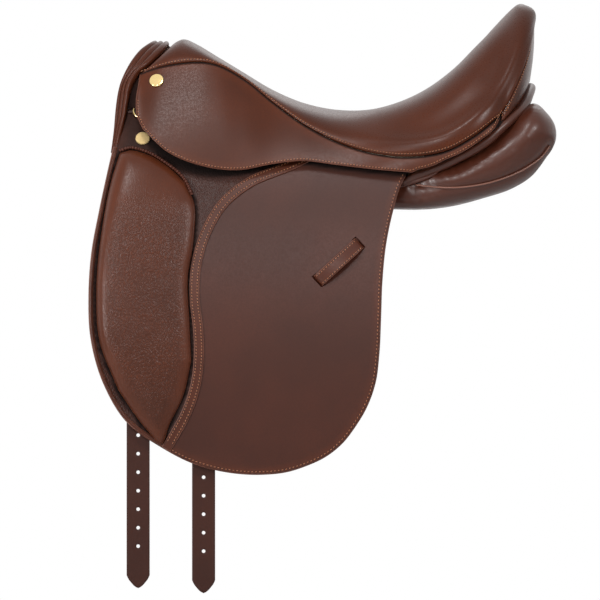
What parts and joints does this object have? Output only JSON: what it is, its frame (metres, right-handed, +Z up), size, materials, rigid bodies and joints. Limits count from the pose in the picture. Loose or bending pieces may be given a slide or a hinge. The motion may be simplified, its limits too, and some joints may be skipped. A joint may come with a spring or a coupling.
{
  "type": "dressage saddle",
  "caption": "Leather dressage saddle with a deep seat, long straight flaps with knee blocks, panels, stirrup bars and girth billets.",
  "frame": {"origin": "over the horse's spine under the middle of the seat, on the centre plane, level with the top of the panels' channel", "axes": "+X to the cantle, -X to the pommel, -Y to the near side, +Y to the off side, +Z up"},
  "size_m": [0.5544, 0.3722, 0.7014],
  "materials": {
    "seat_leather": "smooth, satin",
    "flap_leather": "smooth, fine grain",
    "grained_leather": "pebble grain",
    "panel_leather": "soft, satin",
    "bridle_leather": "smooth, dark",
    "webbing": "woven",
    "foam": "open foam",
    "beech": "bare, laminated",
    "steel": "brushed",
    "brass": "polished"
  },
  "bodies": {
    "root": {"tree_frame": "beech", "head_plate": "steel", "gullet_plate": "steel", "seat_web_long": "webbing", "front_cross_web": "webbing", "rear_cross_web": "webbing", "seat_foam": "foam", "seat_cover": "seat_leather", "cantle_facing": "seat_leather", "pommel_rolls": "seat_leather", "rear_welt": "panel_leather", "near_spring_steel": "steel", "near_stirrup_bar": "steel", "near_catch_pin": "steel", "near_front_girth_web": "webbing", "near_rear_girth_web": "webbing", "near_panel": "panel_leather", "near_panel_piping": "panel_leather", "near_sweat_flap": "flap_leather", "near_skirt_top": "flap_leather", "near_flap_top": "flap_leather", "near_upper_nail": "brass", "near_lower_nail": "brass", "near_dee_chape": "bridle_leather", "near_front_tab": "bridle_leather", "off_spring_steel": "steel", "off_stirrup_bar": "steel", "off_catch_pin": "steel", "off_front_girth_web": "webbing", "off_rear_girth_web": "webbing", "off_panel": "panel_leather", "off_panel_piping": "panel_leather", "off_sweat_flap": "flap_leather", "off_skirt_top": "flap_leather", "off_flap_top": "flap_leather", "off_upper_nail": "brass", "off_lower_nail": "brass", "off_dee_chape": "bridle_leather", "off_front_tab": "bridle_leather"},
    "near_skirt": {"near_skirt": "flap_leather"},
    "near_flap": {"near_flap": "flap_leather", "near_knee_block": "grained_leather", "near_flap_facing": "flap_leather", "near_flap_rim": "flap_leather", "near_keeper": "flap_leather"},
    "near_front_billet": {"near_front_billet": "bridle_leather"},
    "near_rear_billet": {"near_rear_billet": "bridle_leather"},
    "near_dee_ring": {"near_dee_ring": "brass"},
    "near_bar_catch": {"near_bar_catch": "steel"},
    "off_skirt": {"off_skirt": "flap_leather"},
    "off_flap": {"off_flap": "flap_leather", "off_knee_block": "grained_leather", "off_flap_facing": "flap_leather", "off_flap_rim": "flap_leather", "off_keeper": "flap_leather"},
    "off_front_billet": {"off_front_billet": "bridle_leather"},
    "off_rear_billet": {"off_rear_billet": "bridle_leather"},
    "off_dee_ring": {"off_dee_ring": "brass"},
    "off_bar_catch": {"off_bar_catch": "steel"}
  },
  "joints": [
    {"name": "near_flap_lift", "type": "hinge", "parent": "root", "child": "near_flap", "pos_m": [-0.27, -0.09514, 0.017], "axis": [-0.9907, 0.1065, 0.0847], "range_deg": [0, 28]},
    {"name": "near_skirt_lift", "type": "hinge", "parent": "root", "child": "near_skirt", "pos_m": [-0.243, -0.08592, 0.074], "axis": [-0.9519, 0.1916, 0.2392], "range_deg": [0, 60]},
    {"name": "near_front_billet_swing", "type": "hinge", "parent": "root", "child": "near_front_billet", "pos_m": [-0.2402, -0.10072, -0.012], "axis": [-0.0169, -0.9078, 0.419], "range_deg": [-6, 6]},
    {"name": "near_rear_billet_swing", "type": "hinge", "parent": "root", "child": "near_rear_billet", "pos_m": [-0.1623, -0.10312, -0.012], "axis": [-0.039, -0.9073, 0.4188], "range_deg": [-6, 6]},
    {"name": "near_dee_swing", "type": "hinge", "parent": "root", "child": "near_dee_ring", "pos_m": [-0.23011, -0.07325, 0.05861], "axis": [0, 0.5889, 0.8082], "range_deg": [0, 40]},
    {"name": "near_catch_turn", "type": "hinge", "parent": "root", "child": "near_bar_catch", "pos_m": [-0.11308, -0.08733, 0.04091], "axis": [-0.0405, -0.8375, 0.5449], "range_deg": [0, 70]},
    {"name": "off_flap_lift", "type": "hinge", "parent": "root", "child": "off_flap", "pos_m": [-0.27, 0.09514, 0.017], "axis": [0.9907, 0.1065, -0.0847], "range_deg": [0, 28]},
    {"name": "off_skirt_lift", "type": "hinge", "parent": "root", "child": "off_skirt", "pos_m": [-0.243, 0.08592, 0.074], "axis": [0.9519, 0.1916, -0.2392], "range_deg": [0, 60]},
    {"name": "off_front_billet_swing", "type": "hinge", "parent": "root", "child": "off_front_billet", "pos_m": [-0.2402, 0.10072, -0.012], "axis": [0.0169, -0.9078, -0.419], "range_deg": [-6, 6]},
    {"name": "off_rear_billet_swing", "type": "hinge", "parent": "root", "child": "off_rear_billet", "pos_m": [-0.1623, 0.10312, -0.012], "axis": [0.039, -0.9073, -0.4188], "range_deg": [-6, 6]},
    {"name": "off_dee_swing", "type": "hinge", "parent": "root", "child": "off_dee_ring", "pos_m": [-0.23011, 0.07325, 0.05861], "axis": [0, 0.5889, -0.8082], "range_deg": [0, 40]},
    {"name": "off_catch_turn", "type": "hinge", "parent": "root", "child": "off_bar_catch", "pos_m": [-0.11308, 0.08733, 0.04091], "axis": [0.0405, -0.8375, -0.5449], "range_deg": [0, 70]}
  ]
}
